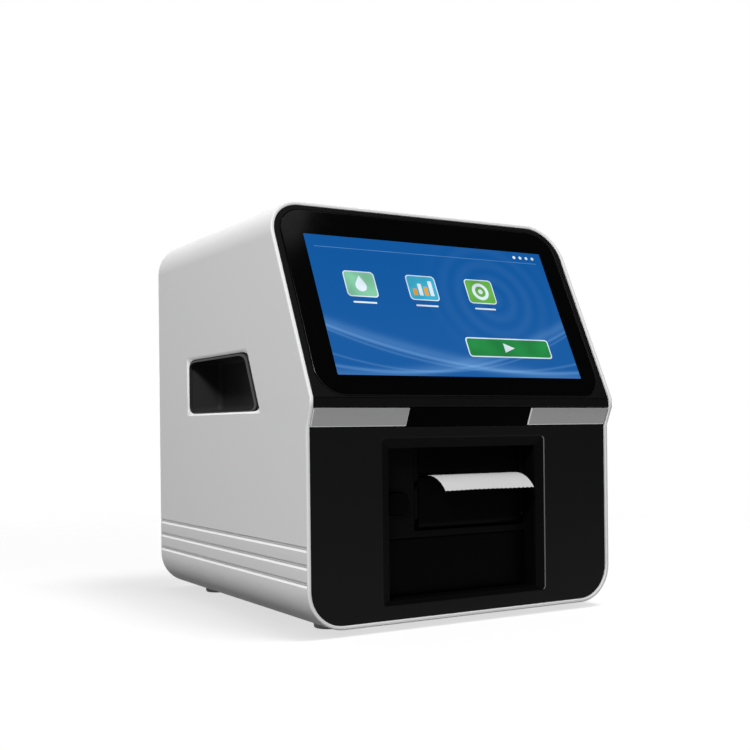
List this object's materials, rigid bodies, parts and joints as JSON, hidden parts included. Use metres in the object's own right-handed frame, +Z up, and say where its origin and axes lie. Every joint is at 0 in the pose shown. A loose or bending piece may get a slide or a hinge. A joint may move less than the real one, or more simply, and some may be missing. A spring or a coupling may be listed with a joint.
{
  "type": "dry biochemistry analyzer",
  "caption": "Bench analyzer in a white wrap-round casing with a leaning touch screen, a powered disc drawer and a strip printer in a dark front recess.",
  "frame": {"origin": "centre of the bounding box on the table, under the feet", "axes": "+X to the viewer's right, +Y to the rear, +Z up; the screen and the drawer face -Y"},
  "size_m": [0.19, 0.2122, 0.2199],
  "materials": {
    "casing": "satin white",
    "black_plastic": "smooth black",
    "dark_plastic": "fine matt",
    "gear_plastic": "natural acetal",
    "rubber": "matt",
    "screen_glass": "polished",
    "display": "lit blue picture",
    "trim": "brushed",
    "alloy": "machined",
    "sheet_steel": "plain plated",
    "circuit_board": "solder mask",
    "paper": "smooth"
  },
  "bodies": {
    "analyzer_body": {"outer_casing": "casing", "left_grip_cup": "black_plastic", "right_grip_cup": "black_plastic", "front_left_foot": "rubber", "front_right_foot": "rubber", "rear_left_foot": "rubber", "rear_right_foot": "rubber", "screen_bezel": "black_plastic", "touch_glass": "screen_glass", "lcd_panel": "display", "lcd_bracket": "sheet_steel", "lower_front_panel": "black_plastic", "silver_band_left": "trim", "silver_band_right": "trim", "band_centre_plate": "black_plastic", "recess_liner": "black_plastic", "chassis_plate": "sheet_steel", "left_rail": "alloy", "right_rail": "alloy", "warm_plate": "alloy", "spindle_motor": "sheet_steel", "photometer_block": "dark_plastic", "lamp_housing": "dark_plastic", "code_reader": "dark_plastic", "tray_motor": "sheet_steel", "motor_bracket": "sheet_steel", "printer_frame": "black_plastic", "door_hinge_pin": "alloy", "thermal_head": "alloy", "tear_bar": "black_plastic", "button_guide": "dark_plastic", "board_bracket": "sheet_steel", "main_board": "circuit_board", "power_supply": "sheet_steel", "usb_ports": "sheet_steel", "network_port": "sheet_steel", "rear_panel": "sheet_steel", "fan_frame": "black_plastic", "power_inlet": "black_plastic", "switch_housing": "black_plastic"},
    "sample_drawer": {"drawer_front": "black_plastic", "drawer_tray": "dark_plastic", "drawer_rack": "gear_plastic"},
    "tray_pinion": {"tray_pinion": "gear_plastic"},
    "printer_door": {"printer_door": "black_plastic", "paper_strip": "paper"},
    "platen": {"platen_roller": "rubber"},
    "printer_gear": {"printer_gear": "gear_plastic"},
    "paper_roll": {"paper_roll": "paper"},
    "release_button": {"release_button": "black_plastic"},
    "spindle": {"spindle_hub": "alloy"},
    "fan": {"fan_rotor": "black_plastic"},
    "power_rocker": {"power_rocker": "black_plastic"}
  },
  "joints": [
    {"name": "drawer_slide", "type": "slide", "parent": "analyzer_body", "child": "sample_drawer", "axis": [0, -1, 0], "range_m": [0, 0.1]},
    {"name": "pinion_spin", "type": "hinge", "parent": "analyzer_body", "child": "tray_pinion", "pos_m": [0.036, -0.0719, 0.0186], "axis": [1, 0, 0], "range_deg": [-5, 900]},
    {"name": "printer_door_hinge", "type": "hinge", "parent": "analyzer_body", "child": "printer_door", "pos_m": [0.0088, -0.0854, 0.052], "axis": [1, 0, 0], "range_deg": [0, 50]},
    {"name": "platen_spin", "type": "hinge", "parent": "printer_door", "child": "platen", "pos_m": [0.0109, -0.0829, 0.0719], "axis": [1, 0, 0], "continuous": true},
    {"name": "printer_gear_spin", "type": "hinge", "parent": "analyzer_body", "child": "printer_gear", "pos_m": [-0.0226, -0.0728, 0.0719], "axis": [1, 0, 0], "continuous": true},
    {"name": "paper_roll_spin", "type": "hinge", "parent": "analyzer_body", "child": "paper_roll", "pos_m": [0.0109, -0.0583, 0.0689], "axis": [1, 0, 0], "continuous": true},
    {"name": "release_button_press", "type": "slide", "parent": "analyzer_body", "child": "release_button", "axis": [0, 1, 0], "range_m": [0, 0.0018], "stiffness_N_per_m": 300},
    {"name": "spindle_spin", "type": "hinge", "parent": "analyzer_body", "child": "spindle", "pos_m": [-0.0015, -0.0435, 0.0238], "axis": [0, 0, 1], "continuous": true},
    {"name": "fan_spin", "type": "hinge", "parent": "analyzer_body", "child": "fan", "pos_m": [0.04, 0.0916, 0.1535], "axis": [0, 1, 0], "continuous": true},
    {"name": "power_rocker_tilt", "type": "hinge", "parent": "analyzer_body", "child": "power_rocker", "pos_m": [0.02, 0.0999, 0.0735], "axis": [1, 0, 0], "range_deg": [-16, 0]}
  ],
  "couplings": [
    {"joint": "pinion_spin", "follows": "drawer_slide", "rad_per_m": 156.25},
    {"joint": "printer_gear_spin", "follows": "platen_spin", "ratio": -0.66667},
    {"joint": "paper_roll_spin", "follows": "platen_spin", "ratio": 0.27097}
  ]
}
